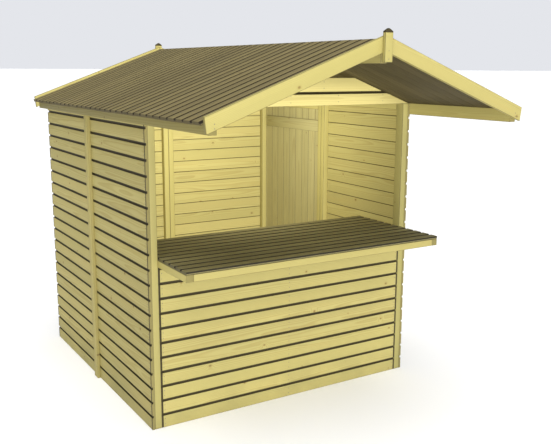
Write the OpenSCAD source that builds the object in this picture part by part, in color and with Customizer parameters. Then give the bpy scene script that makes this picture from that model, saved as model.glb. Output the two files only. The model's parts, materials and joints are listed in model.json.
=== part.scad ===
// Open-fronted market stall with a serving counter, a side door and a gable roof.
// The front faces -Y and the ridge runs along Y. Every piece of timber is a piece of its own.

/* [Walls] */
// Width of the stall across its side cladding
stall_w = 2024; // [1600:4:3200]
// Depth of the stall from the front posts to the back cladding
stall_d = 2024; // [1700:4:3200]
// Height that one cladding board covers
board_cover = 95; // [80:1:130]
// Rows of cladding boards in a full wall
wall_rows = 21; // [20:1:26]
// Thickness of the cladding, roof and counter boards
board_t = 19; // [15:1:26]

/* [Frame] */
// Side of the square battens behind the cladding
batten = 45; // [36:1:60]
// Depth of the two front posts
post_d = 70; // [64:1:100]
// Gap between the two stiles where panels meet
stile_gap = 1; // [0.5:0.5:3]
// Width of the cover strips over the panel joints
strip_w = 70; // [50:1:90]
// Thickness of the cover strips
strip_t = 22; // [15:1:30]

/* [Roof] */
// Slope of the roof in degrees
roof_pitch = 20.5; // [16:0.25:28]
// Height of the roof underside above the wall top, at the outside of the wall
roof_lift = 2; // [2:1:30]
// Distance that the roof reaches past the side cladding
eave_overhang = 91; // [75:1:200]
// Distance that the roof reaches in front of the posts
front_overhang = 940; // [300:5:1200]
// Distance that the roof reaches behind the back wall
back_overhang = 92; // [60:1:300]
// Height of the eave purlins on the outside of the walls
purlin_h = 80; // [45:1:82]
// Height of the ridge beam at its middle
ridge_beam_h = 112; // [90:1:140]
// Height of the tie beams across the gables
tie_h = 70; // [45:1:85]
// Height of one gable board
gable_board_h = 90; // [70:1:100]
// Gap between the ends of the gable boards and the roof
gable_gap = 10; // [5:1:20]

/* [Bargeboards] */
// Width of a bargeboard, square to its slope
barge_h = 82; // [70:1:140]
// Thickness of a bargeboard
barge_t = 20; // [16:1:30]
// Height of the bargeboards' top edge above the roof boards
barge_proud = 18; // [0:1:24]
// Distance from the eaves to the ends of the bargeboards
barge_short = 14; // [0:1:20]
// Angle between the bargeboards' ends and an upright line
barge_cut = 7; // [0:1:20]
// Gap between the two bargeboards of a gable
barge_gap = 1; // [0.5:0.5:3]
// Width of the finial that covers the bargeboard joint
finial_w = 54; // [35:1:70]
// Thickness of the finial
finial_t = 22; // [18:1:35]
// Height of the finial
finial_h = 179; // [140:1:240]
// Height of the finial's point above the bargeboards
finial_rise = 34; // [15:1:50]
// Height of the finial's sloping tip
finial_tip = 16; // [8:1:22]

/* [Counter] */
// Rows of cladding boards in the front wall
front_rows = 11; // [10:1:13]
// Height of the counter's bearers, which rest on the front wall
bearer_h = 45; // [36:1:95]
// Distance that the counter reaches in front of the posts
counter_out = 401; // [250:1:600]
// Distance that the counter reaches behind the front of the posts
counter_in = 492; // [300:1:600]
// Gap between the counter and the front posts
counter_gap = 0.5; // [0.3:0.1:3]

/* [Door] */
// Gap round the door leaf, above it and at its hinges
door_gap = 5; // [5:0.5:8]
// Gap at the free edge of the door leaf
door_free_gap = 6; // [6:0.5:10]
// Height of the door leaf above the ground
door_lift = 25; // [10:1:60]
// Height of the board over the door
over_door_h = 80; // [75:1:250]
// Width of a door ledge
ledge_h = 95; // [70:1:120]
// Thickness of a door ledge
ledge_t = 22; // [15:1:30]
// Distance from the leaf's edges to the ends of the ledges
ledge_inset = 25; // [20:1:60]
// Distance from the leaf's bottom to the bottom ledge
ledge_bottom = 125; // [80:1:250]
// Distance from the leaf's top to the top ledge
ledge_top = 97; // [80:1:250]
// Height of the middle ledge above the ground
middle_ledge_z = 660; // [400:1:1000]
// Height of the door knob above the ground
knob_h = 1005; // [900:1:1150]
// Distance of the door knob from the leaf's free edge
knob_inset = 60; // [45:1:100]
// Radius of the door knob
knob_r = 17; // [12:0.5:22]

/* [Door hinges] */
// Length of a hinge strap
strap_len = 300; // [200:1:400]
// Height of a hinge strap at its knuckle
strap_h = 34; // [30:1:36]
// Height of a hinge strap at its end
strap_end_h = 20; // [14:1:28]
// Thickness of the hinge metal
hinge_t = 3; // [2:0.5:4]
// Height of a hinge plate on the wall
plate_h = 92; // [80:1:120]
// Width of a hinge plate on the wall
plate_w = 48; // [40:1:56]
// Radius of the hinge knuckles
knuckle_r = 7; // [6:0.25:7]
// Radius of the hinge pins
pin_r = 4; // [3.5:0.25:4.5]
// Distance of the hinge pins from the wall's face
pin_out = 8; // [8:0.5:9]

/* [Hidden] */
pin_play = 0.05;
seat_gap = 0.2;                      // play between parts of the roof that rest on each other
knuckle_gap = 1;
half_w = stall_w / 2;
half_d = stall_d / 2;
wall_h = wall_rows * board_cover;
inner_w = half_w - board_t;          // inside face of the side cladding
clear_w = inner_w - batten;          // inside face of the side battens
back_in = half_d - board_t;          // inside face of the back cladding
back_clear = back_in - batten;       // inside face of the back battens
stile_h = wall_h - batten;
post_back = -half_d + post_d;

roof_half = half_w + eave_overhang;
board_rise = board_t / cos(roof_pitch);
under_ridge = wall_h + roof_lift + half_w * tan(roof_pitch);
top_ridge = under_ridge + board_rise;
barge_ridge = top_ridge + barge_proud;
roof_front = -half_d - front_overhang;
roof_back = half_d + back_overhang;
board_front = roof_front + barge_t;
board_back = roof_back - barge_t;
beam_bottom = under_ridge - ridge_beam_h;
purlin_z = wall_h + roof_lift - purlin_h;

// The stall's footprint is shifted so that the whole stall is centred on the origin.
shift_y = (front_overhang - back_overhang) / 2;

door_y0 = batten + stile_gap / 2 + door_free_gap;   // free edge of the leaf
door_y1 = back_clear - door_gap;                    // hinge edge of the leaf
doorway_h = wall_h - over_door_h;
door_top = doorway_h - door_gap;
pin_x = half_w + pin_out;
pin_y = back_clear - door_gap / 2;
top_ledge_z = door_top - ledge_top - ledge_h;
bottom_ledge_z = door_lift + ledge_bottom;
hinge_heights = [for (z = [bottom_ledge_z, top_ledge_z]) z + ledge_h / 2];

counter_x = clear_w - counter_gap;
front_wall_h = front_rows * board_cover;
counter_under = front_wall_h + bearer_h;
counter_h = counter_under + board_t;
counter_front = -half_d - counter_out;
counter_back = -half_d + counter_in;
gable_z = [for (i = [0:2]) wall_h + i * gable_board_h];

wall_colour = [0.76, 0.70, 0.42];
front_colour = [0.88, 0.82, 0.50];
frame_colour = [0.80, 0.73, 0.46];
roof_colour = [0.52, 0.47, 0.35];
trim_colour = [0.86, 0.80, 0.48];
door_colour = [0.72, 0.64, 0.38];
steel_colour = [0.30, 0.30, 0.31];

// ---- Shared shapes, in the frame of the stall's footprint ----

// Moves a piece from the footprint's frame to the whole stall's frame
module place() {
    translate([0, shift_y, 0]) children();
}

// A block between two corners
module block(low, high) {
    translate(low) cube(high - low);
}

// The same piece on both sides of the middle plane
module both_sides() {
    children();
    mirror([1, 0, 0]) children();
}

// An outline in X and Z, pushed along Y from y0 to y1
module cross_section(outline, y0, y1) {
    translate([0, y1, 0]) rotate([90, 0, 0]) linear_extrude(y1 - y0) polygon(outline);
}

// Height of the roof's underside at a distance x from the middle
function under_z(x) = under_ridge - x * tan(roof_pitch);

// Distance from the middle at which the roof's underside has height z
function under_x(z) = (under_ridge - z) / tan(roof_pitch);

// Height of the top of a beam under the roof, at a distance x from the middle
function seat_z(x) = under_z(x) - seat_gap;

// ---- Cladding ----

module left_wall_front_panel() color(wall_colour) place()
    block([-half_w, -half_d, 0], [-inner_w, 0, wall_h]);

module left_wall_back_panel() color(wall_colour) place()
    block([-half_w, 0, 0], [-inner_w, half_d, wall_h]);

module right_wall_front_panel() color(wall_colour) place()
    block([inner_w, -half_d, 0], [half_w, batten + stile_gap / 2, wall_h]);

module right_wall_corner_board() color(wall_colour) place()
    block([inner_w, back_clear, 0], [half_w, half_d, wall_h]);

module over_door_board() color(wall_colour) place()
    block([inner_w, batten + stile_gap / 2, doorway_h], [half_w, back_clear, wall_h]);

module back_wall_left_panel() color(wall_colour) place()
    block([-inner_w, back_in, 0], [0, half_d, wall_h]);

module back_wall_right_panel() color(wall_colour) place()
    block([0, back_in, 0], [inner_w, half_d, wall_h]);

module front_wall_panel() color(front_colour) place()
    block([-clear_w, -half_d, 0], [clear_w, -half_d + board_t, front_wall_h]);

// One gable board, with ends that follow the roof, between heights z0 and z1
module gable_board(z0, z1, y0) {
    x0 = min(half_w, under_x(z0 + gable_gap));
    x1 = under_x(z1 + gable_gap);
    upright = x0 < half_w ? [] : [[x0, min(z1, under_z(x0) - gable_gap)]];
    ends = concat([[x0, z0]], upright, [[x1, z1]]);
    cross_section([for (p = ends) p, for (i = [len(ends) - 1:-1:0]) [-ends[i][0], ends[i][1]]],
        y0, y0 + board_t);
}

module front_gable_lower_board() color(front_colour) place()
    gable_board(gable_z[0], gable_z[1], -half_d);

module front_gable_upper_board() color(front_colour) place()
    gable_board(gable_z[1], gable_z[2], -half_d);

module back_gable_lower_board() color(front_colour) place()
    gable_board(gable_z[0], gable_z[1], back_in);

module back_gable_upper_board() color(front_colour) place()
    gable_board(gable_z[1], gable_z[2], back_in);

// ---- Frame ----

module front_post() {
    block([clear_w, -half_d, 0], [inner_w, post_back, wall_h]);
}

module front_post_left() color(front_colour) place() mirror([1, 0, 0]) front_post();

module front_post_right() color(front_colour) place() front_post();

module back_corner_stiles() color(frame_colour) place() both_sides()
    block([clear_w, back_clear, 0], [inner_w, back_in, stile_h]);

// The two stiles of a panel joint, on the inside of the right wall
module side_mid_stiles() {
    for (y = [-batten - stile_gap / 2, stile_gap / 2])
        block([clear_w, y, 0], [inner_w, y + batten, stile_h]);
}

module left_mid_stiles() color(frame_colour) place() mirror([1, 0, 0]) side_mid_stiles();

module right_mid_stiles() color(frame_colour) place() side_mid_stiles();

module back_mid_stiles() color(frame_colour) place() both_sides()
    block([stile_gap / 2, back_clear, 0], [stile_gap / 2 + batten, back_in, stile_h]);

// The plate at the foot of the front half of a side wall
module side_bottom_plate() {
    block([clear_w, post_back, 0], [inner_w, -batten - stile_gap / 2, batten]);
}

module bottom_plates() color(frame_colour) place() {
    both_sides() {
        side_bottom_plate();
        block([batten + stile_gap / 2, back_clear, 0], [clear_w, back_in, batten]);
    }
    block([-inner_w, batten + stile_gap / 2, 0], [-clear_w, back_clear, batten]);
}

module side_top_plates() color(frame_colour) place() both_sides()
    block([clear_w, post_back, stile_h], [inner_w, back_in, wall_h]);

module back_top_plate() color(frame_colour) place()
    block([-clear_w, back_clear, stile_h], [clear_w, back_in, wall_h]);

// The beam across the tops of the side walls, with ends that follow the roof
module tie_beam(y0) {
    top = wall_h + tie_h;
    ends = [[half_w, wall_h], [half_w, seat_z(half_w)], [under_x(top + seat_gap), top]];
    cross_section([for (p = ends) p, for (i = [2:-1:0]) [-ends[i][0], ends[i][1]]],
        y0, y0 + batten);
}

module front_tie_beam() color(frame_colour) place() tie_beam(-half_d + board_t);

module back_tie_beam() color(frame_colour) place() tie_beam(back_clear);

module king_posts() color(frame_colour) place()
    for (y = [-half_d + board_t, back_clear])
        block([-batten / 2, y, wall_h + tie_h], [batten / 2, y + batten, beam_bottom - seat_gap]);

// ---- Roof ----

module ridge_beam() color(frame_colour) place()
    cross_section([[-batten / 2, beam_bottom], [batten / 2, beam_bottom],
        [batten / 2, seat_z(batten / 2)], [0, seat_z(0)], [-batten / 2, seat_z(batten / 2)]],
        board_front, board_back);

module purlin() {
    cross_section([[half_w, purlin_z], [half_w + batten, purlin_z],
        [half_w + batten, seat_z(half_w + batten)], [half_w, seat_z(half_w)]],
        board_front, board_back);
}

module purlin_left() color(frame_colour) place() mirror([1, 0, 0]) purlin();

module purlin_right() color(frame_colour) place() purlin();

// A board that runs down the slope from x0 to x1, its lower end cut at an angle to the upright
function slope_outline(x0, x1, ridge_z, depth, cut_angle) =
    let (end_z = ridge_z - x1 * tan(roof_pitch), run = depth / cos(roof_pitch - cut_angle)) [
        [x0, ridge_z - x0 * tan(roof_pitch)],
        [x1, end_z],
        [x1 - run * sin(cut_angle), end_z - run * cos(cut_angle)],
        [x0, ridge_z - x0 * tan(roof_pitch) - depth / cos(roof_pitch)]];

module roof_slope() {
    cross_section(slope_outline(0, roof_half, top_ridge, board_t, roof_pitch),
        board_front, board_back);
}

module roof_left() color(roof_colour) place() mirror([1, 0, 0]) roof_slope();

module roof_right() color(roof_colour) place() roof_slope();

module bargeboards(y0) both_sides()
    cross_section(slope_outline(barge_gap / 2, roof_half - barge_short, barge_ridge, barge_h,
        barge_cut), y0, y0 + barge_t);

module front_bargeboards() color(trim_colour) place() bargeboards(roof_front);

module back_bargeboards() color(trim_colour) place() bargeboards(board_back);

// The upright cover of a bargeboard joint, with a pointed top
module finial(y0) {
    tip = barge_ridge + finial_rise;
    cross_section([[-finial_w / 2, tip - finial_h], [finial_w / 2, tip - finial_h],
        [finial_w / 2, tip - finial_tip], [0, tip], [-finial_w / 2, tip - finial_tip]],
        y0, y0 + finial_t);
}

module front_finial() color(trim_colour) place() finial(roof_front - finial_t);

module back_finial() color(trim_colour) place() finial(roof_back);

// ---- Cover strips over the panel joints ----

module cover_strips() color(frame_colour) place() {
    both_sides()
        block([half_w, -strip_w / 2, 0], [half_w + strip_t, strip_w / 2, purlin_z]);
    block([-strip_w / 2, half_d, 0], [strip_w / 2, half_d + strip_t, wall_h]);
}

// ---- Counter ----

module counter_top() color(front_colour) place()
    block([-counter_x, counter_front, counter_under], [counter_x, counter_back, counter_h]);

module counter_bearers() color(front_colour) place() both_sides()
    block([counter_x - batten, counter_front, front_wall_h], [counter_x, counter_back, counter_under]);

module counter_rails() color(front_colour) place()
    for (y = [counter_front, counter_back - board_t])
        block([-counter_x + batten, y, front_wall_h], [counter_x - batten, y + board_t, counter_under]);

module front_wall_rails() color(frame_colour) place()
    for (z = [0, front_wall_h - batten])
        block([-clear_w, -half_d + board_t, z], [clear_w, -half_d + board_t + batten, z + batten]);

module front_wall_stiles() color(frame_colour) place()
    for (x = [-clear_w, -batten / 2, clear_w - batten])
        block([x, -half_d + board_t, batten],
            [x + batten, -half_d + board_t + batten, front_wall_h - batten]);

// ---- Door ----

// The batten across the top of the doorway, behind the top edge of the leaf
module door_head() color(frame_colour) place()
    block([clear_w, batten + stile_gap / 2, door_top - door_gap],
        [inner_w - door_gap, back_clear, stile_h]);

module door_boards() color(door_colour) place()
    block([inner_w, door_y0, door_lift], [half_w, door_y1, door_top]);

module door_ledges() color(door_colour) place()
    for (z = [bottom_ledge_z, middle_ledge_z, top_ledge_z])
        block([inner_w - ledge_t, door_y0 + ledge_inset, z],
            [inner_w, door_y1 - ledge_inset, z + ledge_h]);

// A tapered strap on the leaf, with a bored knuckle round the pin
module hinge_strap() {
    difference() {
        union() {
            translate([half_w, 0, 0]) rotate([90, 0, 90]) linear_extrude(hinge_t)
                polygon([[pin_y, -strap_h / 2], [pin_y, strap_h / 2],
                    [pin_y - strap_len, strap_end_h / 2], [pin_y - strap_len, -strap_end_h / 2]]);
            translate([pin_x, pin_y, -strap_h / 2]) cylinder(h = strap_h, r = knuckle_r, $fn = 48);
        }
        translate([pin_x, pin_y, -strap_h]) cylinder(h = 2 * strap_h, r = pin_r + pin_play, $fn = 48);
    }
}

module door_hinge_straps() color(steel_colour) place()
    for (z = hinge_heights) translate([0, 0, z]) hinge_strap();

// A plate on the wall, with the pin and the two outer knuckles
module hinge_plate() {
    inner_z = strap_h / 2 + knuckle_gap;
    difference() {
        block([half_w, pin_y, -plate_h / 2], [half_w + hinge_t, pin_y + plate_w, plate_h / 2]);
        translate([pin_x, pin_y, -inner_z])
            cylinder(h = 2 * inner_z, r = knuckle_r + knuckle_gap, $fn = 48);
    }
    for (z = [-plate_h / 2, inner_z])
        translate([pin_x, pin_y, z]) cylinder(h = plate_h / 2 - inner_z, r = knuckle_r, $fn = 48);
    translate([pin_x, pin_y, -plate_h / 2]) cylinder(h = plate_h, r = pin_r, $fn = 48);
}

module door_hinge_plates() color(steel_colour) place()
    for (z = hinge_heights) translate([0, 0, z]) hinge_plate();

// A turned knob on the outside of the leaf
module door_knob() color(steel_colour) place()
    translate([half_w, door_y0 + knob_inset, knob_h]) rotate([0, 90, 0]) rotate_extrude($fn = 48)
        polygon([[0, 0], [knob_r, 0], [knob_r, hinge_t], [knob_r / 2, 2 * hinge_t],
            [knob_r / 2, knob_r], [knob_r, 1.5 * knob_r], [knob_r, 2.2 * knob_r],
            [0.7 * knob_r, 2.6 * knob_r], [0, 2.7 * knob_r]]);

left_wall_front_panel();
left_wall_back_panel();
right_wall_front_panel();
right_wall_corner_board();
over_door_board();
back_wall_left_panel();
back_wall_right_panel();
front_wall_panel();
front_gable_lower_board();
front_gable_upper_board();
back_gable_lower_board();
back_gable_upper_board();
front_post_left();
front_post_right();
back_corner_stiles();
left_mid_stiles();
right_mid_stiles();
back_mid_stiles();
bottom_plates();
side_top_plates();
back_top_plate();
front_tie_beam();
back_tie_beam();
king_posts();
ridge_beam();
purlin_left();
purlin_right();
roof_left();
roof_right();
front_bargeboards();
back_bargeboards();
front_finial();
back_finial();
cover_strips();
counter_top();
counter_bearers();
counter_rails();
front_wall_rails();
front_wall_stiles();
door_head();
door_boards();
door_ledges();
door_hinge_straps();
door_hinge_plates();
door_knob();
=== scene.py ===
"""Finishes a wooden market stall on its packed frame: boards, timbers, fixings, ironwork, stage.

The file is laid out as an add-on and is run as a script. Lengths are in metres. The front of
the stall faces -Y, the ridge runs along Y and the door is in the +X wall.
"""

import json
import math
import random
from collections import namedtuple
from contextlib import contextmanager

import bmesh
import bpy
from mathutils import Euler, Matrix, Vector

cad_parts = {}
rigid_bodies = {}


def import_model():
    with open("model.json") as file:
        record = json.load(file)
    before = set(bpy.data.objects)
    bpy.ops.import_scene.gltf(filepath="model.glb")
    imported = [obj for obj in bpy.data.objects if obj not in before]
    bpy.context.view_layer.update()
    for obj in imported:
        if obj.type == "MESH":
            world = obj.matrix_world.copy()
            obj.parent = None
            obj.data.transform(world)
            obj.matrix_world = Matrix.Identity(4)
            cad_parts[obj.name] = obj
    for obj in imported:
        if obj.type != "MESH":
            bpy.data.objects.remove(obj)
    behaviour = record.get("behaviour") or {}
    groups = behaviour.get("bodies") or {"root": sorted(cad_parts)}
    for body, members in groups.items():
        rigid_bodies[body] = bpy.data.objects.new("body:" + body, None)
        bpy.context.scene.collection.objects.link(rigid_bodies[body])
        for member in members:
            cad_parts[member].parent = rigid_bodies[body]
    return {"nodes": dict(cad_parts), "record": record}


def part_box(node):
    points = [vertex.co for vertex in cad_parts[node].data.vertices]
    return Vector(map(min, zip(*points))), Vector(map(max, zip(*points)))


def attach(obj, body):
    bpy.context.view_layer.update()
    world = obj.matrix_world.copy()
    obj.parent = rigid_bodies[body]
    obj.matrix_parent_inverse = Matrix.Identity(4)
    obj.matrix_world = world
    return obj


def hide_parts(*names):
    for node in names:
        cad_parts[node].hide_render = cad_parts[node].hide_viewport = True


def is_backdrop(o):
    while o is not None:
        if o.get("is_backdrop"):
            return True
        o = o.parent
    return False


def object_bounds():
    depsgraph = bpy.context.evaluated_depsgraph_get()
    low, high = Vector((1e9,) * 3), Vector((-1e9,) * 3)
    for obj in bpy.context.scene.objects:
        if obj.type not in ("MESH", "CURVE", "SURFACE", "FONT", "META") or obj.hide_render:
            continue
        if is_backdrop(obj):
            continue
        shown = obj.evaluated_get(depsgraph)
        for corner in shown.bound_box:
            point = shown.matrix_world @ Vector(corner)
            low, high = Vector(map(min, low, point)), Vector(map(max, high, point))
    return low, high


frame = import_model()
CAD_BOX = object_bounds()

bl_info = {
    "name": "Market stall finish",
    "version": (1, 0, 0),
    "blender": (4, 5, 0),
    "location": "3D View > Sidebar > Stall",
    "description": "Boards, timbers, fixings and finishes of a wooden market stall",
    "category": "Object",
}

MM = 0.001
X, Y, Z = Vector((1, 0, 0)), Vector((0, 1, 0)), Vector((0, 0, 1))
SLOT_OF = {part["node"]: part["material_slot"] for part in frame["record"]["subparts"]}
BODY_OF = {
    node: body for body, nodes in frame["record"]["behaviour"]["bodies"].items() for node in nodes
}


# ---- Sizes and colours that a user would change ----


def length(name, default, description):
    """A length, shown with its unit."""
    return bpy.props.FloatProperty(
        name=name, default=default, description=description, unit="LENGTH", precision=4
    )


def angle(name, degrees, description):
    """An angle, given here in degrees."""
    return bpy.props.FloatProperty(
        name=name, default=math.radians(degrees), description=description, subtype="ANGLE"
    )


def number(name, default, description):
    """A whole number."""
    return bpy.props.IntProperty(name=name, default=default, description=description, min=1)


def colour(name, default, description):
    """A linear colour."""
    return bpy.props.FloatVectorProperty(
        name=name, default=default, description=description, subtype="COLOR", min=0.0, max=1.0
    )


class StallBoards(bpy.types.PropertyGroup):
    """How the walls, roof, counter and door are divided into boards."""

    wall_rows: number("Wall rows", 21, "Rows of cladding in a full wall")
    roof_boards: number("Roof boards", 32, "Boards side by side along a roof slope")
    counter_boards: number("Counter boards", 11, "Boards side by side across the counter")
    door_boards: number("Door boards", 9, "Boards side by side across the door")
    groove: length("Wall groove", 16 * MM, "Width of the recess between two cladding boards")
    groove_depth: length("Wall groove depth", 9 * MM, "Depth of the recess between them")
    deck_groove: length("Deck groove", 20 * MM, "The same width on the roof and the counter")
    deck_depth: length("Deck groove depth", 11 * MM, "The same depth on the roof and the counter")
    door_groove: length("Door groove", 5 * MM, "Width of the recess between two door boards")
    door_depth: length("Door groove depth", 4 * MM, "Depth of the recess between them")
    face_bevel: length("Face bevel", 2 * MM, "Bevel of a board's edges on its outer face")
    back_bevel: length("Back bevel", 4.5 * MM, "Bevel of a board's edges on its inner face")
    deck_bevel: length("Deck back bevel", 5 * MM, "The same bevel on the roof and the counter")
    # The end band is painted shadow at the ends of the cladding boards, beside the posts and cover
    # strips.
    end_band: length("End band", 12 * MM, "Width of the dark band at the ends of the cladding")
    spread: length("Spread", 0.5 * MM, "Most that a board may be thinner than its neighbours")
    ragged: length("Ragged ends", 4 * MM, "Most that a roof board may be shorter than the others")


class StallTimbers(bpy.types.PropertyGroup):
    """The arrises of the sawn and planed timbers."""

    arris: length("Arris", 3.5 * MM, "Width of the rounded edges of the timbers")
    steps: number("Steps", 2, "Faces across a rounded edge")
    dark_tip: length("Dark tip", 24 * MM, "Height of the weathered tip of a finial")


class StallFixings(bpy.types.PropertyGroup):
    """Nails and screws."""

    nail_head: length("Nail head", 2.8 * MM, "Radius of a nail's head")
    nail_height: length("Nail height", 0.8 * MM, "Height of a nail's head above the wood")
    nail_edge: length("Nail edge", 22 * MM, "Distance from a nail to the edge of its board")
    screw_head: length("Screw head", 4 * MM, "Radius of the head of a hinge screw")
    hinge_metal: length("Hinge metal", 3 * MM, "Thickness of the hinges' metal")
    iron_arris: length("Iron arris", 0.6 * MM, "Width of the rounded edges of the ironwork")


class StallFinish(bpy.types.PropertyGroup):
    """Colours of the timber and the ironwork."""

    wall: colour("Wall boards", (0.41, 0.352, 0.124), "Light wood of the cladding")
    trim: colour("Frame and trim", (0.41, 0.352, 0.118), "Light wood of the frame and the trim")
    # The roof's wood is dark partly as weathered boards and partly as painted shade for the dim
    # light on the slopes and undersides.
    roof: colour("Roof", (0.178, 0.143, 0.057), "Wood of the roof boards")
    # The counter's wood is dark partly as weathered boards and partly as painted shade for the dim
    # light on its top.
    counter: colour("Counter", (0.21, 0.183, 0.077), "Wood of the counter top")
    # The gables' wood is a lighter copy of the trim's: painted light for the light that the roof
    # overhang keeps off them.
    gable: colour("Gables", (0.56, 0.48, 0.185), "Light wood of the gable boards")
    # The front posts' wood is a darker copy of the trim's: painted shade.
    post: colour("Front posts", (0.345, 0.302, 0.105), "Light wood of the front posts")
    door: colour("Door", (0.41, 0.365, 0.16), "Wood of the door")
    steel: colour("Ironwork", (0.022, 0.022, 0.023), "Paint of the hinges and the knob")
    nail: colour("Nails", (0.17, 0.16, 0.15), "Metal of the nails and screws")


class StallStage(bpy.types.PropertyGroup):
    """The camera, the floor and the light."""

    lens: bpy.props.FloatProperty(
        name="Lens", default=50.17, description="Focal length on a 36 mm sensor", unit="CAMERA"
    )
    eye: bpy.props.FloatVectorProperty(
        name="Eye", default=(-2.711, -4.802, 2.231), description="Place of the camera",
        subtype="XYZ",
    )
    heading: angle("Heading", 31.66, "Turn of the camera from +Y towards +X")
    tilt: angle("Tilt", 11.265, "Tilt of the camera below level")
    roll: angle("Roll", 0.26, "Roll of the camera")
    floor: length("Floor", 4000.0, "Width of the floor")
    sky: colour("Sky", (0.776, 0.791, 0.831), "Colour behind the stall")
    glow: bpy.props.FloatProperty(
        name="Glow", default=0.32, description="Part of the sky's light that falls on the stall"
    )
    key: bpy.props.FloatProperty(
        name="Key", default=2.8, description="Strength of the low flat light in front"
    )
    top: bpy.props.FloatProperty(
        name="Top", default=3.0, description="Strength of the soft light from above"
    )
    fill: bpy.props.FloatProperty(
        name="Fill", default=34.0, description="Power of the light inside the stall", unit="POWER"
    )
    gable: bpy.props.FloatProperty(
        name="Gable", default=1.9, description="Power of the light on the gable", unit="POWER"
    )


# ---- Modelling helpers ----


def pick(*pieces):
    """Object mode, with these pieces alone selected and the first one active."""
    if bpy.context.object and bpy.context.object.mode != "OBJECT":
        bpy.ops.object.mode_set(mode="OBJECT")
    bpy.ops.object.select_all(action="DESELECT")
    for piece in pieces:
        piece.select_set(True)
        bpy.context.view_layer.objects.active = pieces[0]


@contextmanager
def edit_mode(piece, kind="FACE"):
    """Edit mode on one piece, with nothing selected."""
    pick(piece)
    bpy.ops.object.mode_set(mode="EDIT")
    bpy.ops.mesh.select_mode(type=kind)
    bpy.ops.mesh.select_all(action="DESELECT")
    yield
    bpy.ops.object.mode_set(mode="OBJECT")


def choose(piece, kind, wanted):
    """In edit mode, selects the faces or edges that wanted() says yes to."""
    mesh = bmesh.from_edit_mesh(piece.data)
    for part in mesh.faces if kind == "FACE" else mesh.edges:
        part.select_set(bool(wanted(part)))
    bmesh.update_edit_mesh(piece.data)


def near(a, b):
    """Whether two lengths are the same, to a hundredth of a millimetre."""
    return abs(a - b) < 0.01 * MM


def add_block(name, low, high):
    """A cube shaped to the space between two corners, its place in its mesh."""
    pick()
    low, high = Vector(low), Vector(high)
    bpy.ops.mesh.primitive_cube_add(size=1, location=(low + high) / 2, scale=high - low)
    bpy.ops.object.transform_apply(location=True, rotation=True, scale=True)
    block = bpy.context.object
    block.name = name
    return block


def cut(piece, point, normal, clear=False):
    """Cuts a piece with a plane. With clear, what lies on the normal's side is taken away."""
    with edit_mode(piece):
        bpy.ops.mesh.select_all(action="SELECT")
        bpy.ops.mesh.bisect(plane_co=point, plane_no=normal, use_fill=clear, clear_outer=clear)


def bevel_edges(piece, width, steps, wanted):
    """Bevels the edges that wanted() says yes to."""
    with edit_mode(piece, "EDGE"):
        choose(piece, "EDGE", wanted)
        bpy.ops.mesh.bevel(offset=width, offset_type="WIDTH", segments=steps, affect="EDGES")


def is_arris(edge):
    """Whether an edge is a corner of the timber and not a seam in a flat face."""
    return len(edge.link_faces) == 2 and edge.calc_face_angle() > math.radians(12)


def apply_modifier(piece, kind, **settings):
    """Adds a modifier with these settings and applies it."""
    pick(piece)
    modifier = piece.modifiers.new(kind.title(), kind)
    for key, value in settings.items():
        setattr(modifier, key, value)
    bpy.ops.object.modifier_apply(modifier=modifier.name)


def repeat(piece, step, count):
    """Repeats a piece's mesh count times, a step apart."""
    apply_modifier(
        piece, "ARRAY", count=count, use_relative_offset=False, use_constant_offset=True,
        constant_offset_displace=step,
    )


def copy_of(piece, name, matrix=None):
    """A free copy with its own mesh, moved by a matrix that goes into the mesh."""
    pick(piece)
    bpy.ops.object.duplicate()
    bpy.ops.object.parent_clear(type="CLEAR_KEEP_TRANSFORM")
    copy = bpy.context.object
    copy.name = name
    for key in list(copy.keys()):
        del copy[key]
    if matrix:
        copy.data.transform(matrix)
    return copy


def drop(piece):
    """Deletes a pattern that was only there to be copied."""
    pick(piece)
    bpy.ops.object.delete()


def joined(pieces, name):
    """The pieces as one piece with this name."""
    pick(*pieces)
    if len(pieces) > 1:
        bpy.ops.object.join()
    pieces[0].name = pieces[0].data.name = name
    return pieces[0]


def smooth(piece, degrees=35):
    """Smooth shading, apart from edges sharper than this."""
    pick(piece)
    bpy.ops.object.shade_smooth_by_angle(angle=math.radians(degrees))


def finish_piece(piece, look, node, replaces=True):
    """Gives a piece its material, and the body of the CAD node that it belongs to."""
    piece.data.materials.clear()
    piece.data.materials.append(material(look))
    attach(piece, BODY_OF[node])
    if replaces:
        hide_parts(node)


# ---- Grain ----

# How dark parts of a board or timber are, from 0 to 1: painted shade with some dirt in the
# grooves and the back V joints, painted shade on the backs of the roof and counter boards,
# and darker arrises and end grain.
RECESS, CHAMFER, UNDERSIDE_SHADE, ARRIS, END = 1.0, 0.8, 0.62, 0.6, 0.5


def islands(mesh):
    """The groups of connected faces of a bmesh, one for each board or timber."""
    seen = set()
    for start in mesh.faces:
        if start in seen:
            continue
        seen.add(start)
        group = [start]
        for face in group:
            near_by = {other for edge in face.edges for other in edge.link_faces} - seen
            seen |= near_by
            group.extend(sorted(near_by, key=lambda f: f.index))
        yield group


def grain_axes(board):
    """The directions along a board, through its thickness and across its width."""
    edges = {edge for face in board for edge in face.edges}
    longest = max(edges, key=lambda e: (round(e.calc_length(), 5), -e.index))
    along = (longest.verts[1].co - longest.verts[0].co).normalized()
    sides = [face for face in board if abs(face.normal.dot(along)) < 0.1]
    through = max(sides, key=lambda f: (round(f.calc_area(), 7), -f.index)).normal.copy()
    return along, through, along.cross(through)


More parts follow.
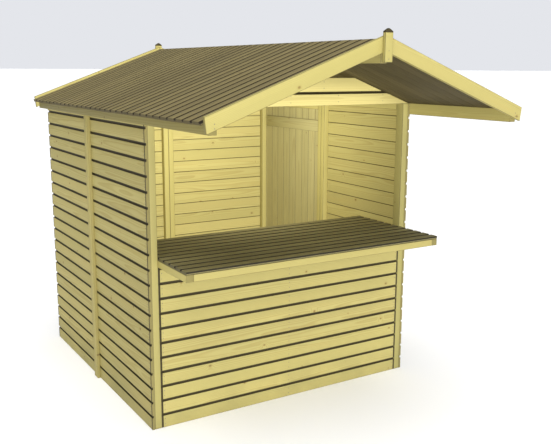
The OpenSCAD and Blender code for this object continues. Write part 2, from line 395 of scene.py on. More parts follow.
def lay_grain(piece):
    """Gives each board or timber of a piece its own grain, in three attributes.

    grain is a point's place in its own board, with x along the grain. tone is one random number
    for each board. shade is how much darker a face is drawn: painted shade in recesses and on
    the backs of roof and counter boards, and darker end grain and arrises.
    """
    rng = random.Random(piece.name)
    mesh = bmesh.new()
    mesh.from_mesh(piece.data)
    grain = mesh.verts.layers.float_vector.new("grain")
    tone = mesh.faces.layers.float.new("tone")
    shade = mesh.faces.layers.float.get("shade") or mesh.faces.layers.float.new("shade")
    for board in islands(mesh):
        axes = grain_axes(board)
        points = {vert for face in board for vert in face.verts}
        spans = [[vert.co.dot(axis) for vert in points] for axis in axes]
        middle = Vector((min(span) + max(span)) / 2 for span in spans)
        for vert in points:
            vert[grain] = Vector(vert.co.dot(axis) for axis in axes) - middle
        value = rng.random()
        for face in board:
            face[tone] = value
            if face[shade] == 0.0:
                along, *others = (abs(face.normal.dot(axis)) for axis in axes)
                face[shade] = END if along > 0.9 else ARRIS if max(others) < 0.97 else 0.0
    mesh.to_mesh(piece.data)
    mesh.free()


def mark(piece, value, wanted):
    """Marks the faces that wanted() says yes to with a shade."""
    mesh = bmesh.new()
    mesh.from_mesh(piece.data)
    shade = mesh.faces.layers.float.get("shade") or mesh.faces.layers.float.new("shade")
    for face in mesh.faces:
        if wanted(face):
            face[shade] = value
    mesh.to_mesh(piece.data)
    mesh.free()


# ---- Materials ----


class Signal:
    """A socket of a node tree. Arithmetic on it adds Math nodes."""

    def __init__(self, tree, socket):
        self.tree, self.socket = tree, socket

    def math(self, operation, *others, clamp=False):
        """A Math node on this signal and others, which may be numbers."""
        settings = {"operation": operation, "use_clamp": clamp}
        return self.tree.node("Math", settings, dict(enumerate((self, *others))))

    def __add__(self, other):
        return self.math("ADD", other)

    def __sub__(self, other):
        return self.math("SUBTRACT", other)

    def __rsub__(self, other):
        return self.tree.node("Math", {"operation": "SUBTRACT"}, {0: other, 1: self})

    def __mul__(self, other):
        return self.math("MULTIPLY", other)

    def __truediv__(self, other):
        return self.math("DIVIDE", other)

    __radd__, __rmul__ = __add__, __mul__

    def fraction(self):
        return self.math("FRACT")

    def clipped(self):
        """The signal held between 0 and 1."""
        return self.math("ADD", 0.0, clamp=True)

    def ramp(self, low, high):
        """0 at low and 1 at high, with a smooth run between."""
        settings = {"interpolation_type": "SMOOTHSTEP"}
        return self.tree.node("MapRange", settings, {"Value": self, 1: low, 2: high})

    def other(self, output):
        """Another output of the same node."""
        return Signal(self.tree, self.socket.node.outputs[output])


class NodeTree:
    """The node tree of a new material, or of a world that is given with its shader's name."""

    def __init__(self, name, world=None, shader="Principled BSDF"):
        self.owner = world or bpy.data.materials.new(name)
        self.owner.use_nodes = True
        self.tree = self.owner.node_tree
        self.shader = self.tree.nodes[shader]

    def node(self, kind, settings=None, sockets=None, output=0):
        """Adds a node: its settings first, then the values or links of its sockets."""
        made = self.tree.nodes.new("ShaderNode" + kind)
        for key, value in (settings or {}).items():
            setattr(made, key, value)
        for key, value in (sockets or {}).items():
            self.feed(made.inputs[key], value)
        return Signal(self, made.outputs[output])

    def feed(self, socket, value):
        """Links a signal to a socket, or sets the socket's value."""
        if isinstance(value, Signal):
            self.tree.links.new(value.socket, socket)
        else:
            socket.default_value = value

    def attribute(self, name, output="Fac"):
        return self.node("Attribute", {"attribute_name": name}, output=output)

    def split(self, vector):
        """The three numbers of a vector."""
        first = self.node("SeparateXYZ", sockets={0: vector})
        return first, first.other(1), first.other(2)

    def vector(self, x, y, z):
        return self.node("CombineXYZ", sockets={0: x, 1: y, 2: z})

    def place(self, scale):
        """Object coordinates, scaled."""
        at = self.node("TexCoord", output="Object")
        return self.node("Mapping", sockets={"Vector": at, "Scale": (scale, scale, scale)})

    def noise(self, place, detail=2.0, roughness=0.5):
        """Noise at a place, from 0 to 1."""
        sockets = {"Vector": place, "Scale": 1.0, "Detail": detail, "Roughness": roughness}
        return self.node("TexNoise", sockets=sockets)

    def mix(self, factor, a, b, blend="MIX"):
        """A mix of two colours."""
        settings = {"data_type": "RGBA", "blend_type": blend}
        return self.node("Mix", settings, {0: factor, 6: a, 7: b}, output=2)

    def grey(self, value):
        """A colour with the same value in each channel."""
        return self.node("CombineColor", sockets={0: value, 1: value, 2: value})

    def bump(self, height, strength, distance):
        sockets = {"Strength": strength, "Distance": distance, "Height": height}
        return self.node("Bump", sockets=sockets)

    def finish(self, **sockets):
        """Feeds the shader's sockets, named with underscores for spaces."""
        for name, value in sockets.items():
            self.feed(self.shader.inputs[name.replace("_", " ")], value)
        return self.owner


def shaded(values, factor, tint=(1.0, 1.0, 1.0)):
    """A colour made lighter or darker and tinted, opaque."""
    return (*(value * factor * part for value, part in zip(values, tint)), 1.0)


def knots(tree, x, z, offset):
    """The distance to the nearest knot in a board, and that knot's own random number."""
    along, across, oval = 0.9, 6.0, 0.55
    shift_x, shift_z = offset * 37.0, offset * 19.0
    settings = {"voronoi_dimensions": "2D", "feature": "F1"}
    place = tree.vector(x * along + shift_x, z * across + shift_z, 0.0)
    cell = tree.node("TexVoronoi", settings, {"Vector": place, "Scale": 1.0}, "Position")
    at_x, at_z, _ = tree.split(cell)
    gap_x = x + (shift_x - at_x) / along
    gap_z = z + (shift_z - at_z) / across
    distance = (gap_x * gap_x * oval + gap_z * gap_z).math("SQRT")
    return distance, tree.split(cell.other("Color"))[0]


def wood(
    name, base, contrast=1.0, recess=0.1, weather=0.12, rough=0.6, damp=1.0, uneven=0.12
):
    """Softwood whose growth rings, knots and fibres follow the grain of each board."""
    ring_width, ring_wander, knot_swell = 5.8 * MM, 24 * MM, 11 * MM
    tree = NodeTree(name)
    grain, tone = tree.attribute("grain", "Vector"), tree.attribute("tone")
    shade = tree.attribute("shade")
    x, y, z = tree.split(grain)
    second, third = (tone * 17.31).fraction(), (tone * 41.77).fraction()

    distance, knot_size = knots(tree, x, z, tone)
    distance = distance / (knot_size * 0.7 + 0.3)
    wander = tree.noise(tree.vector(x * 1.3 + tone * 53.0, y * 8.0, z * 8.0 + second * 29.0))
    depth, side = y - 0.03 - second * 0.06, z - (third - 0.5) * 0.12
    radius = (depth * depth + side * side).math("SQRT") + wander * ring_wander + x * 0.006
    radius = radius + (1.0 - distance.ramp(0.003, 0.04)) * knot_swell
    ring = (radius / ring_width).fraction()
    late = ring.ramp(0.3, 0.85) * (1.0 - ring.ramp(0.9, 1.0))
    streak_place = tree.vector(x * 1.2 + tone * 71.0, y * 36.0, z * 36.0 + third * 13.0)
    streak = tree.noise(streak_place, 4.0, 0.62)
    fibre = tree.noise(tree.vector(x * 16.0, y * 600.0, z * 600.0))
    heart, collar = 1.0 - distance.ramp(0.006, 0.0085), 1.0 - distance.ramp(0.006, 0.02)

    colour = tree.mix(
        late * 0.4 * contrast, shaded(base, 1.07), shaded(base, 0.68, (1.08, 0.95, 0.76))
    )
    colour = tree.mix(
        streak.ramp(0.52, 0.8) * 0.3 * contrast, colour, shaded(base, 0.86, (1.12, 0.95, 0.8))
    )
    colour = tree.mix(collar * 0.35, colour, shaded(base, 0.62, (1.2, 0.9, 0.65)))
    colour = tree.mix(heart * 0.7, colour, shaded(base, 0.28, (1.3, 0.85, 0.6)))
    level = tone * uneven + streak * 0.14 + (0.93 - uneven / 2)
    colour = tree.mix(1.0, colour, tree.grey(level), "MULTIPLY")
    colour = tree.mix(third * 0.16, colour, shaded(base, 0.92, (0.94, 1.02, 0.86)))

    blotch = tree.noise(tree.place(2.6), 5.0, 0.6)
    height = tree.split(tree.node("TexCoord", output="Object"))[2]
    wet = (1.0 - height.ramp(0.0, 0.3)) * blotch.ramp(0.3, 0.65) * 0.3 * damp
    grey_wood = shaded(base, 0.7, (0.94, 0.98, 1.15))
    colour = tree.mix(blotch.ramp(0.45, 0.8) * weather, colour, grey_wood)
    colour = tree.mix(wet, colour, shaded(base, 0.45, (0.88, 1.0, 1.0)))
    # Darkens by the shade attribute: painted shade in grooves, V joints, board backs, end bands,
    # purlins and cover strips, and darker end grain, arrises and finial tips.
    colour = tree.mix(shade.clipped(), colour, shaded(base, recess, (1.0, 0.88, 0.72)))

    relief = late * 0.35 + fibre * 0.3 + streak * 0.4 - heart * 0.4
    tree.shader.inputs["Specular IOR Level"].default_value = 0.3
    return tree.finish(
        Base_Color=colour,
        Roughness=blotch * 0.1 + late * 0.08 + rough,
        Normal=tree.bump(relief, 0.5, 0.8 * MM),
    )


def painted_steel(name, base):
    """Satin black paint on steel, rubbed bare in spots."""
    tree = NodeTree(name)
    fine, broad = tree.noise(tree.place(240.0), 4.0), tree.noise(tree.place(30.0), 3.0)
    bare = (fine * 0.5 + broad * 0.5).ramp(0.56, 0.66)
    colour = tree.mix(broad * 0.6, shaded(base, 0.8), shaded(base, 1.5))
    colour = tree.mix(bare * 0.7, colour, (0.13, 0.09, 0.065, 1.0))
    return tree.finish(
        Base_Color=colour, Metallic=bare * 0.4, Roughness=fine * 0.2 + 0.34,
        Normal=tree.bump(fine, 0.35, 0.3 * MM),
    )


def zinc(name, base):
    """Dull zinc on nails and screws."""
    tree = NodeTree(name)
    spots = tree.noise(tree.place(700.0), 3.0)
    colour = tree.mix(spots.ramp(0.35, 0.65), shaded(base, 0.6), shaded(base, 1.3))
    tree.shader.inputs["Metallic"].default_value = 0.8
    return tree.finish(
        Base_Color=colour, Roughness=spots * 0.3 + 0.35, Normal=tree.bump(spots, 0.3, 0.1 * MM)
    )


LOOKS = {
    "wall_pine": lambda name, finish: wood(name, finish.wall),
    "trim_pine": lambda name, finish: wood(name, finish.trim, contrast=0.8, weather=0.08),
    # gable_pine carries painted light and post_pine painted shade, through their colours.
    "gable_pine": lambda name, finish: wood(name, finish.gable, contrast=0.8, weather=0.08),
    "post_pine": lambda name, finish: wood(name, finish.post, contrast=0.8, weather=0.08),
    "roof_pine": lambda name, finish: wood(
        name, finish.roof, contrast=0.7, recess=0.1, weather=0.35, rough=0.72, damp=0.0,
        uneven=0.3,
    ),
    "counter_pine": lambda name, finish: wood(
        name, finish.counter, contrast=0.8, recess=0.08, weather=0.3, damp=0.0, uneven=0.3,
    ),
    "door_pine": lambda name, finish: wood(name, finish.door, recess=0.25),
    "black_steel": lambda name, finish: painted_steel(name, finish.steel),
    "nail_zinc": lambda name, finish: zinc(name, finish.nail),
}


def material(name):
    """The material of this name, made when it is first asked for."""
    return bpy.data.materials.get(name) or LOOKS[name](name, bpy.context.scene.stall_finish)


# ---- Boards ----

# back_shade is painted shade on a board's back face, end_band the width of painted shadow at its
# ends.
Profile = namedtuple("Profile", "groove depth face_bevel back_bevel back_shade end_band")


def deck_profile(sizes):
    """The shape of the boards of the roof and the counter."""
    # The backs of these boards, their undersides, get painted shade.
    return Profile(
        sizes.deck_groove, sizes.deck_depth, sizes.face_bevel, sizes.deck_bevel, UNDERSIDE_SHADE, 0.0
    )


def lie(node, outward, widthwise):
    """How boards lie in a CAD node.

    Gives the matrix that moves a pattern board into the node, and the node's length, thickness
    and width. A pattern board runs along X from 0, faces -Y from y = 0, and its width is up Z.
    """
    turn = Matrix((widthwise.cross(outward), -outward, widthwise)).transposed()
    points = [turn.transposed() @ vert.co for vert in frame["nodes"][node].data.vertices]
    low = Vector(min(point[i] for point in points) for i in range(3))
    high = Vector(max(point[i] for point in points) for i in range(3))
    return turn.to_4x4() @ Matrix.Translation(low), high - low


def model_board(run, cover, thick, profile):
    """A pattern board: a face, and at its top edge a set-back tongue that shows in the joint."""
    face_top = cover - profile.groove
    board = add_block("board", (0, 0, 0), (run, thick, face_top))
    cut(board, (0, profile.depth, 0), Y)
    with edit_mode(board):
        choose(
            board, "FACE",
            lambda f: f.normal.z > 0.9 and f.calc_center_median().y > profile.depth,
        )
        move = {"value": (0, 0, profile.groove)}
        bpy.ops.mesh.extrude_region_move(TRANSFORM_OT_translate=move)
    # Painted shade, with some dirt, in the groove: the tongue and the groove's walls are drawn
    # dark.
    mark(
        board, RECESS,
        lambda f: abs(f.normal.x) < 0.1 and f.calc_center_median().y < profile.depth + MM
        and (f.normal.y > -0.9 or f.calc_center_median().z > face_top),
    )

    def runs_at(edge, y):
        return all(near(vert.co.y, y) for vert in edge.verts) and edge.calc_length() > run / 2

    bevel_edges(board, profile.face_bevel, 2, lambda e: runs_at(e, 0))
    bevel_edges(board, profile.back_bevel, 1, lambda e: runs_at(e, thick))
    # Painted shade, with some dirt, in the V joints of the inner face.
    mark(board, CHAMFER, lambda f: 0.1 < f.normal.y < 0.9)
    # Painted shade on the back face, which is the underside of the roof and counter boards.
    mark(board, profile.back_shade, lambda f: f.normal.y > 0.9)
    # A band of painted shadow at each end of the face, where the cladding meets a post or a cover
    # strip.
    if profile.end_band:
        cut(board, (profile.end_band, 0, 0), X)
        cut(board, (run - profile.end_band, 0, 0), X)
        reach = run / 2 - profile.end_band
        mark(
            board, RECESS,
            lambda f: f.normal.y < -0.1 and abs(f.calc_center_median().x - run / 2) > reach,
        )
    return board


def lay_boards(node, name, outward, widthwise, cover, profile, look, ragged=0.0, trim=None):
    """Fills a CAD node with boards side by side, the last one ripped to the width that is left."""
    boards = bpy.context.scene.stall_boards
    rng = random.Random(node)
    place, size = lie(node, outward, widthwise)
    pattern = model_board(size.x, cover, size.y, profile)
    if trim:
        trim(pattern)
    rows = []
    for row in range(math.ceil(size.z / cover - 0.01)):
        thinner = Matrix.Scale(1 - rng.random() * boards.spread / size.y, 4, Y)
        shorter = Matrix.Scale(1 - rng.random() * ragged / size.x, 4, X)
        back = Matrix.Translation(Y * size.y)
        matrix = Matrix.Translation(Z * cover * row) @ back @ thinner @ back.inverted() @ shorter
        rows.append(copy_of(pattern, f"{name}_{row}", matrix))
    drop(pattern)
    if len(rows) * cover > size.z + 0.1 * MM:
        cut(rows[-1], (0, 0, size.z), Z, clear=True)
    wall = joined(rows, name)
    wall.data.transform(place)
    lay_grain(wall)
    smooth(wall)
    finish_piece(wall, look, node)
    return wall


def roof_normal():
    """The normal of the top of the right roof slope."""
    faces = [face for face in frame["nodes"]["roof_right"].data.polygons if face.normal.z > 0.5]
    return max(faces, key=lambda face: face.area).normal.copy()


class STALL_OT_walls(bpy.types.Operator):
    """Clads the walls and the gables with horizontal boards"""

    bl_idname = "stall.walls"
    bl_label = "Walls and gables"

    WALLS = {
        "left_wall_front": -X,
        "left_wall_back": -X,
        "right_wall_front": X,
        "back_wall_left": Y,
        "back_wall_right": Y,
        "front_wall": -Y,
    }

    def execute(self, context):
        sizes = context.scene.stall_boards
        profile = Profile(
            sizes.groove, sizes.groove_depth, sizes.face_bevel, sizes.back_bevel, 0.0,
            sizes.end_band,
        )
        low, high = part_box("left_wall_front_panel")
        cover = (high.z - low.z) / sizes.wall_rows
        for wall, outward in self.WALLS.items():
            lay_boards(f"{wall}_panel", f"{wall}_boards", outward, Z, cover, profile, "wall_pine")
        profile = profile._replace(end_band=0.0)

        low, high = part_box("over_door_board")
        lay_boards("over_door_board", "over_door_face", X, Z, high.z - low.z, profile, "wall_pine")
        for side, outward in (("front", -Y), ("back", Y)):
            for board, groove in (("lower", 0.0), ("upper", sizes.groove)):
                node = f"{side}_gable_{board}_board"
                low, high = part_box(node)
                cover = high.z - low.z + groove
                face = lay_boards(
                    node, f"{side}_gable_{board}_face", outward, Z, cover, profile, "gable_pine"
                )
                self.fit_to_roof(face, node)
        return {"FINISHED"}

    def fit_to_roof(self, piece, node):
        """Cuts the ends of a gable board to the slopes of its CAD node."""
        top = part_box(node)[1].z
        corner = max(v.co.x for v in frame["nodes"][node].data.vertices if near(v.co.z, top))
        slope = roof_normal()
        for side in (-1, 1):
            cut(piece, (side * corner, 0, top), (side * slope.x, 0, slope.z), clear=True)


class STALL_OT_roof(bpy.types.Operator):
    """Boards the two roof slopes from the ridge to the eaves"""

    bl_idname = "stall.roof"
    bl_label = "Roof boards"

    def execute(self, context):
        sizes = context.scene.stall_boards
        profile = deck_profile(sizes)
        low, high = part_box("roof_right")
        cover = (high.y - low.y) / sizes.roof_boards
        slope = roof_normal()

        def cut_ridge(board):
            cut(board, (0, 0, 0), (-slope.z, slope.x, 0), clear=True)

        for side, outward, widthwise in (
            ("right", slope, Y), ("left", Vector((-slope.x, 0, slope.z)), -Y)
        ):
            lay_boards(
                f"roof_{side}", f"roof_{side}_boards", outward, widthwise, cover, profile,
                "roof_pine", sizes.ragged, cut_ridge,
            )
        return {"FINISHED"}


class STALL_OT_counter(bpy.types.Operator):
    """Boards the counter top along its length"""

    bl_idname = "stall.counter"
    bl_label = "Counter top"

    def execute(self, context):
        sizes = context.scene.stall_boards
        profile = deck_profile(sizes)
        low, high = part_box("counter_top")
        cover = (high.y - low.y) / sizes.counter_boards
        lay_boards("counter_top", "counter_boards", Z, Y, cover, profile, "counter_pine")
        return {"FINISHED"}


class STALL_OT_door(bpy.types.Operator):
    """Boards the door leaf from top to bottom"""

    bl_idname = "stall.door"
    bl_label = "Door leaf"

    def execute(self, context):
        sizes = context.scene.stall_boards
        profile = Profile(
            sizes.door_groove, sizes.door_depth, sizes.face_bevel, sizes.back_bevel, 0.0, 0.0
        )
        low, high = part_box("door_boards")
        cover = (high.y - low.y) / sizes.door_boards
        lay_boards("door_boards", "door_leaf", X, -Y, cover, profile, "door_pine")
        return {"FINISHED"}


# ---- Timbers ----


def dressed_copy(node, name, width, steps):
    """A copy of a CAD node as a clean mesh with rounded edges."""
    piece = copy_of(frame["nodes"][node], name)
    with edit_mode(piece):
        bpy.ops.mesh.select_all(action="SELECT")
        bpy.ops.mesh.remove_doubles(threshold=0.01 * MM)
        bpy.ops.mesh.dissolve_limited(angle_limit=math.radians(1))
    bevel_edges(piece, width, steps, is_arris)
    return piece


class STALL_OT_timbers(bpy.types.Operator):
    """Dresses the posts, stiles, beams, trim, bearers and ledges"""

    bl_idname = "stall.timbers"
    bl_label = "Timbers"

    LOOK_OF_SLOT = {
        "wall_timber": "wall_pine",
        "front_timber": "post_pine",
        "frame_timber": "trim_pine",
        "trim_timber": "trim_pine",
        "door_timber": "door_pine",
        "counter_timber": "trim_pine",
    }
    # Faces given painted shade: the purlins' outer faces and ends, as under the eaves, and the
    # side faces of the cover strips.
    PAINTED_SHADE_FACES = {
        "purlin_left": (0.45, lambda face: face.normal.x < -0.9 or abs(face.normal.y) > 0.9),
        "purlin_right": (0.45, lambda face: face.normal.x > 0.9 or abs(face.normal.y) > 0.9),
        "cover_strips": (0.4, lambda face: abs(face.normal.y) > 0.9),
    }

    def execute(self, context):
        sizes = context.scene.stall_timbers
        for node, cad in frame["nodes"].items():
            if cad.hide_render or SLOT_OF[node] not in self.LOOK_OF_SLOT:
                continue
            piece = dressed_copy(node, f"{node}_timber", sizes.arris, sizes.steps)
            # Paints shade on the purlins' outer faces and ends and on the cover strips' sides.
            if node in self.PAINTED_SHADE_FACES:
                mark(piece, *self.PAINTED_SHADE_FACES[node])
            if node.endswith("finial"):
                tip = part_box(node)[1].z - sizes.dark_tip
                cut(piece, (0, 0, tip), Z)
                mark(piece, RECESS, lambda face: face.calc_center_median().z > tip)
            lay_grain(piece)
            smooth(piece)
            finish_piece(piece, self.LOOK_OF_SLOT[SLOT_OF[node]], node)
        return {"FINISHED"}


# ---- Fixings ----


def add_nail(name, place, outward, radius=None):
    """One flat head of a nail or screw, half sunk in a surface, with a bevelled rim."""
    sizes = bpy.context.scene.stall_fixings
    height = sizes.nail_height
    pick()
    bpy.ops.mesh.primitive_cylinder_add(
        vertices=8, radius=radius or sizes.nail_head, depth=2 * height,
        end_fill_type="NGON", location=(0, 0, 0),
    )
    nail = bpy.context.object
    nail.name = name
    bevel_edges(nail, 0.7 * height, 1, lambda e: all(near(v.co.z, height) for v in e.verts))
    turn = outward.to_track_quat("Z", "Y").to_matrix().to_4x4()
    nail.data.transform(Matrix.Translation(place) @ turn)
    return nail


def hinge_heights():
    """The heights of the lower and the upper hinge."""
    heights = [vert.co.z for vert in frame["nodes"]["door_hinge_plates"].data.vertices]
    middle = (min(heights) + max(heights)) / 2
    lower = [z for z in heights if z < middle]
    upper = [z for z in heights if z > middle]
    return (min(lower) + max(lower)) / 2, (min(upper) + max(upper)) / 2


def nail_field(name, place, outward, *runs):
    """Nails on a surface, repeated in turn along each run, which is a step and a count."""
    nails = add_nail(name, place, outward)
    for step, count in runs:
        repeat(nails, step, count)
    return nails


class STALL_OT_fixings(bpy.types.Operator):
    """Nails the boards, the trim and the ledges to the frame"""

    bl_idname = "stall.fixings"
    bl_label = "Nails"

    # The distance between nails along a piece, and their number.
    GABLE_NAILS = {"lower": (0.38, 5), "upper": (0.26, 3)}
    STRIP_NAILS = (0.35, 6)

    def execute(self, context):
        sizes = context.scene.stall_boards
        self.edge = context.scene.stall_fixings.nail_edge
        self.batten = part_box("purlin_right")[1].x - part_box("purlin_right")[0].x
        self.nail_walls(sizes)
        self.nail_gables()
        self.nail_roof(sizes)
        self.nail_counter(sizes)
        self.nail_door(sizes)
        self.nail_trim()
        return {"FINISHED"}

    def seat(self, fields, name, node):
        """Joins nails and gives them the body of the CAD node that they hold."""
        finish_piece(joined(fields, name), "nail_zinc", node, replaces=False)

    def nail_walls(self, sizes):
        """Nails each cladding board to the stiles at the ends of its panel."""
        low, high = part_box("left_wall_front_panel")
        cover = (high.z - low.z) / sizes.wall_rows
        pair = cover - sizes.groove - 2 * self.edge
        for wall, outward in STALL_OT_walls.WALLS.items():
            low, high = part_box(f"{wall}_panel")
            axis = 0 if outward.x == 0 else 1
            ends = [low[axis] + self.batten / 2, high[axis] - self.batten / 2]
            if wall == "front_wall":
                ends.append(0.0)
            rows = round((high.z - low.z) / cover)
            fields = []
            for index, end in enumerate(ends):
                place = (high if outward.x + outward.y > 0 else low).copy()
                place[axis], place.z = end, low.z + self.edge
                fields.append(
                    nail_field(f"nails_{index}", place, outward, (Z * pair, 2), (Z * cover, rows))
                )
            self.seat(fields, f"{wall}_nails", f"{wall}_panel")

    def nail_gables(self):
        """Nails the gable boards to the tie beams and the king posts."""
        for side, outward in (("front", -Y), ("back", Y)):
            fields = []
            for board, (step, count) in self.GABLE_NAILS.items():
                low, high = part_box(f"{side}_gable_{board}_board")
                y = high.y if outward.y > 0 else low.y
                place = Vector((-step * (count - 1) / 2, y, low.z + self.edge))
                runs = (Z * (high.z - low.z - 2.2 * self.edge), 2), (X * step, count)
                fields.append(nail_field(board, place, outward, *runs))
            self.seat(fields, f"{side}_gable_nails", f"{side}_gable_lower_board")

    def nail_roof(self, sizes):
        """Nails the roof boards to the ridge beam and the purlins."""
        low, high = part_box("roof_right")
        cover = (high.y - low.y) / sizes.roof_boards
        pair = cover - sizes.deck_groove - 2 * self.edge
        slope = roof_normal()
        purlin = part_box("purlin_right")[0].x + self.batten / 2
        for side, across, start in (
            ("right", 1, low.y + self.edge), ("left", -1, high.y - self.edge)
        ):
            fields = []
            outward = Vector((across * slope.x, 0, slope.z))
            for index, x in enumerate((self.batten / 3, purlin)):
                place = Vector((across * x, start, high.z - x * slope.x / slope.z))
                runs = (Y * across * pair, 2), (Y * across * cover, sizes.roof_boards)
                fields.append(nail_field(f"nails_{index}", place, outward, *runs))
            self.seat(fields, f"roof_{side}_nails", f"roof_{side}")

    def nail_counter(self, sizes):
        """Nails the counter boards to the bearers at their ends."""
        low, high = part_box("counter_top")
        cover = (high.y - low.y) / sizes.counter_boards
        pair = cover - sizes.deck_groove - 2 * self.edge
        end = high.x - self.batten / 2
        place = Vector((-end, low.y + self.edge, high.z))
        runs = (Y * pair, 2), (Y * cover, sizes.counter_boards), (X * 2 * end, 2)
        self.seat([nail_field("nails", place, Z, *runs)], "counter_nails", "counter_top")

    def nail_door(self, sizes):
        """Nails the door boards to the three ledges."""
        low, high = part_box("door_boards")
        cover = (high.y - low.y) / sizes.door_boards
        ledges = frame["nodes"]["door_ledges"].data.vertices
        levels = sorted({round(vert.co.z, 4) for vert in ledges})
        pair = levels[1] - levels[0] - 2 * self.edge
        inside = (cover - sizes.door_groove) / 2
        fields = []
        for level in levels[::2]:
            place = Vector((high.x, high.y - inside, level + self.edge))
            runs = (Z * pair, 2), (-Y * cover, sizes.door_boards)
            fields.append(nail_field(f"nails_{level}", place, X, *runs))
        self.seat(fields, "door_nails", "door_boards")

    def nail_trim(self):
        """Nails the cover strips to the stiles and the bargeboards to the roof's beams."""
        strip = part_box("cover_strips")
        step, count = self.STRIP_NAILS
        fields = []
        for name, outward, place in (
            ("left", -X, Vector((strip[0].x, -self.batten / 2, 0))),
            ("right", X, Vector((strip[1].x, -self.batten / 2, 0))),
            ("back", Y, Vector((-self.batten / 2, strip[1].y, 0))),
        ):
            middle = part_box("left_wall_front_panel")[1].y
            place += Vector((0, middle if outward.y == 0 else 0, strip[0].z + 4 * self.edge))
            beside = Y if outward.y == 0 else X
            runs = (beside * self.batten, 2), (Z * step, count)
            fields.append(nail_field(name, place, outward, *runs))
        self.seat(fields, "cover_strip_nails", "cover_strips")

        low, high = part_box("purlin_right")
        end = (low.x + high.x) / 2
        end_height = high.z - 2.1 * self.edge
        finial_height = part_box("ridge_beam")[0].z + self.edge
        for side, outward in (("front", -Y), ("back", Y)):
            face = 0 if side == "front" else 1
            place = Vector((-end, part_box(f"{side}_bargeboards")[face].y, end_height))
            runs = (Z * self.edge, 2), (X * 2 * end, 2)
            fields = [nail_field("ends", place, outward, *runs)]
            place = Vector((0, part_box(f"{side}_finial")[face].y, finial_height))
            fields.append(nail_field("finial", place, outward, (Z * 2 * self.edge, 2)))
            self.seat(fields, f"{side}_bargeboard_nails", f"{side}_bargeboards")


# ---- Ironwork ----


class STALL_OT_ironwork(bpy.types.Operator):
    """Finishes the door's hinges and its knob"""

    bl_idname = "stall.ironwork"
    bl_label = "Ironwork"

    def execute(self, context):
        sizes = context.scene.stall_fixings
        for node, width in (
            ("door_hinge_straps", sizes.iron_arris),
            ("door_hinge_plates", sizes.iron_arris),
            ("door_knob", 2.5 * sizes.iron_arris),
        ):
            piece = dressed_copy(node, f"{node}_iron", width, 2)
            smooth(piece, 50)
            finish_piece(piece, "black_steel", node)
        self.screw_hinges(sizes)
        return {"FINISHED"}

    def screw_hinges(self, sizes):
        """Screws the straps to the leaf and the plates to the wall."""
        strap_low, strap_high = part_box("door_hinge_straps")
        plate_low, plate_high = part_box("door_hinge_plates")
        low, high = hinge_heights()
        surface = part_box("right_wall_corner_board")[1].x + sizes.hinge_metal
        first, step = (part * (strap_high.y - strap_low.y) for part in (0.06, 0.29))
        place = Vector((surface, strap_low.y + first, low))
        screws = add_nail("door_strap_screws", place, X, sizes.screw_head)
        repeat(screws, Y * step, 3)
        repeat(screws, Z * (high - low), 2)
        finish_piece(screws, "nail_zinc", "door_hinge_straps", replaces=False)

        rise = 0.3 * (plate_high.z - plate_low.z - (high - low))
        place = Vector((surface, plate_high.y - 4 * sizes.screw_head, low - rise))
        screws = add_nail("door_plate_screws", place, X, sizes.screw_head)
        repeat(screws, Z * rise, 3)
        repeat(screws, Z * (high - low), 2)
        finish_piece(screws, "nail_zinc", "door_hinge_plates", replaces=False)


# ---- Stage ----


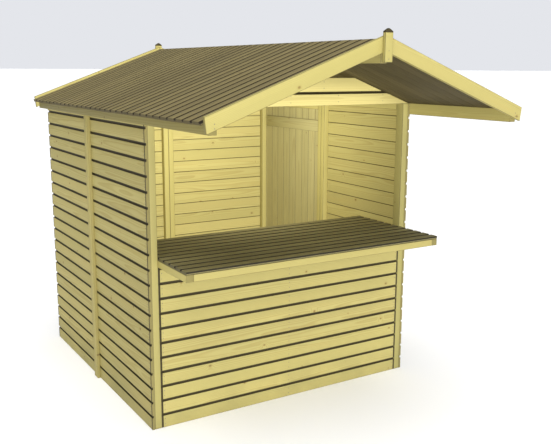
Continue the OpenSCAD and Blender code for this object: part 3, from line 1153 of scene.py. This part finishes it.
class STALL_OT_stage(bpy.types.Operator):
    """Sets the floor, the light and the camera"""

    bl_idname = "stall.stage"
    bl_label = "Stage"

    def execute(self, context):
        stage = context.scene.stall_stage
        self.add_floor(stage)
        self.add_sky(stage)
        self.add_lights(stage)
        self.add_camera(context.scene, stage)
        context.scene.view_settings.view_transform = "Standard"
        return {"FINISHED"}

    def add_floor(self, stage):
        """A plain pale floor, just under the stall."""
        pick()
        bpy.ops.mesh.primitive_plane_add(size=stage.floor, location=(0, 0, -0.5 * MM))
        floor = bpy.context.object
        floor.name = "studio_floor"
        tree = NodeTree("pale_floor")
        speck = tree.noise(tree.place(5.0), 4.0)
        tree.shader.inputs["Specular IOR Level"].default_value = 0.1
        colour = tree.mix(speck * 0.05, (0.97, 0.97, 0.97, 1), (0.9, 0.9, 0.91, 1))
        floor.data.materials.append(tree.finish(Base_Color=colour, Roughness=speck * 0.1 + 0.85))
        floor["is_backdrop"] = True

    def add_sky(self, stage):
        """A pale sky that gives the stall only part of the light that it shows."""
        world = bpy.context.scene.world or bpy.data.worlds.new("studio")
        bpy.context.scene.world = world
        tree = NodeTree("sky", world, "Background")
        seen = tree.node("LightPath", output="Is Camera Ray")
        tree.finish(Color=(*stage.sky, 1.0), Strength=seen * (1.0 - stage.glow) + stage.glow)

    def add_lights(self, stage):
        """Even light in front, soft light from above, and lamps for the room and the gable."""
        for name, power, direction, softness, shadow in (
            ("key_light", stage.key, (0.235, 1.0, -0.05), 10, False),
            ("top_light", stage.top, (0.1, 0.25, -1.0), 60, True),
        ):
            sun = self.add_lamp("SUN", name, (0, -6, 6), power, direction)
            sun.data.angle = math.radians(softness)
            sun.data.use_shadow = shadow

        wall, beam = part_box("back_wall_left_panel")[0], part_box("front_tie_beam")[0]
        room = (0.08, (wall.y + beam.y) / 2 - 0.1, beam.z - 0.25)
        fill = self.add_lamp("POINT", "fill_light", room, stage.fill)
        fill.data.shadow_soft_size = 0.25
        fill.data.use_shadow = False
        front = (0, beam.y - 0.8, beam.z - 0.05)
        gable = self.add_lamp("AREA", "gable_light", front, stage.gable, (0, 1, 0.1))
        gable.data.shape = "RECTANGLE"
        gable.data.size, gable.data.size_y = 1.7, 0.1
        gable.data.spread = math.radians(50)
        for lamp in (fill, gable):
            lamp.visible_camera = lamp.visible_glossy = False

    def add_lamp(self, kind, name, place, power, direction=-Z):
        """A light at a place, turned to shine in a direction."""
        pick()
        bpy.ops.object.light_add(type=kind, location=place)
        lamp = bpy.context.object
        lamp.name = name
        lamp.rotation_euler = Vector(direction).to_track_quat("-Z", "Y").to_euler()
        lamp.data.energy = power
        return lamp

    def add_camera(self, scene, stage):
        """The camera, level but for its tilt and a slight roll."""
        pick()
        bpy.ops.object.camera_add(location=stage.eye)
        camera = bpy.context.object
        turn = Euler((math.pi / 2 - stage.tilt, 0, -stage.heading)).to_matrix()
        turn = turn @ Matrix.Rotation(stage.roll, 3, "Z")
        camera.rotation_euler = turn.to_euler()
        camera.data.lens = stage.lens
        camera.data.sensor_width = 36.0
        camera.data.clip_end = stage.floor
        scene.camera = camera


# ---- Registration ----

SETTINGS = {
    "stall_boards": StallBoards,
    "stall_timbers": StallTimbers,
    "stall_fixings": StallFixings,
    "stall_finish": StallFinish,
    "stall_stage": StallStage,
}
OPERATORS = (
    STALL_OT_walls,
    STALL_OT_roof,
    STALL_OT_counter,
    STALL_OT_door,
    STALL_OT_timbers,
    STALL_OT_fixings,
    STALL_OT_ironwork,
    STALL_OT_stage,
)


class STALL_PT_finish(bpy.types.Panel):
    """Settings and steps of the stall's finish"""

    bl_idname = "STALL_PT_finish"
    bl_label = "Market stall"
    bl_space_type = "VIEW_3D"
    bl_region_type = "UI"
    bl_category = "Stall"

    def draw(self, context):
        for operator in OPERATORS:
            self.layout.operator(operator.bl_idname)
        for name, group in SETTINGS.items():
            box = self.layout.box()
            box.label(text=group.__doc__)
            for key in group.__annotations__:
                box.prop(getattr(context.scene, name), key)


def register():
    for group in (*SETTINGS.values(), *OPERATORS, STALL_PT_finish):
        bpy.utils.register_class(group)
    for name, group in SETTINGS.items():
        setattr(bpy.types.Scene, name, bpy.props.PointerProperty(type=group))


def unregister():
    for name in SETTINGS:
        delattr(bpy.types.Scene, name)
    for group in reversed((*SETTINGS.values(), *OPERATORS, STALL_PT_finish)):
        bpy.utils.unregister_class(group)


def main():
    """Builds the whole finish, in order, and works out its size beside the CAD size."""
    register()
    bpy.ops.stall.walls()
    bpy.ops.stall.roof()
    bpy.ops.stall.counter()
    bpy.ops.stall.door()
    bpy.ops.stall.timbers()
    bpy.ops.stall.fixings()
    bpy.ops.stall.ironwork()
    bpy.ops.stall.stage()
    sizes = {"cad": CAD_BOX, "visual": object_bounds()}
    {name: [list(corner) for corner in box] for name, box in sizes.items()}


if __name__ == "__main__":
    main()
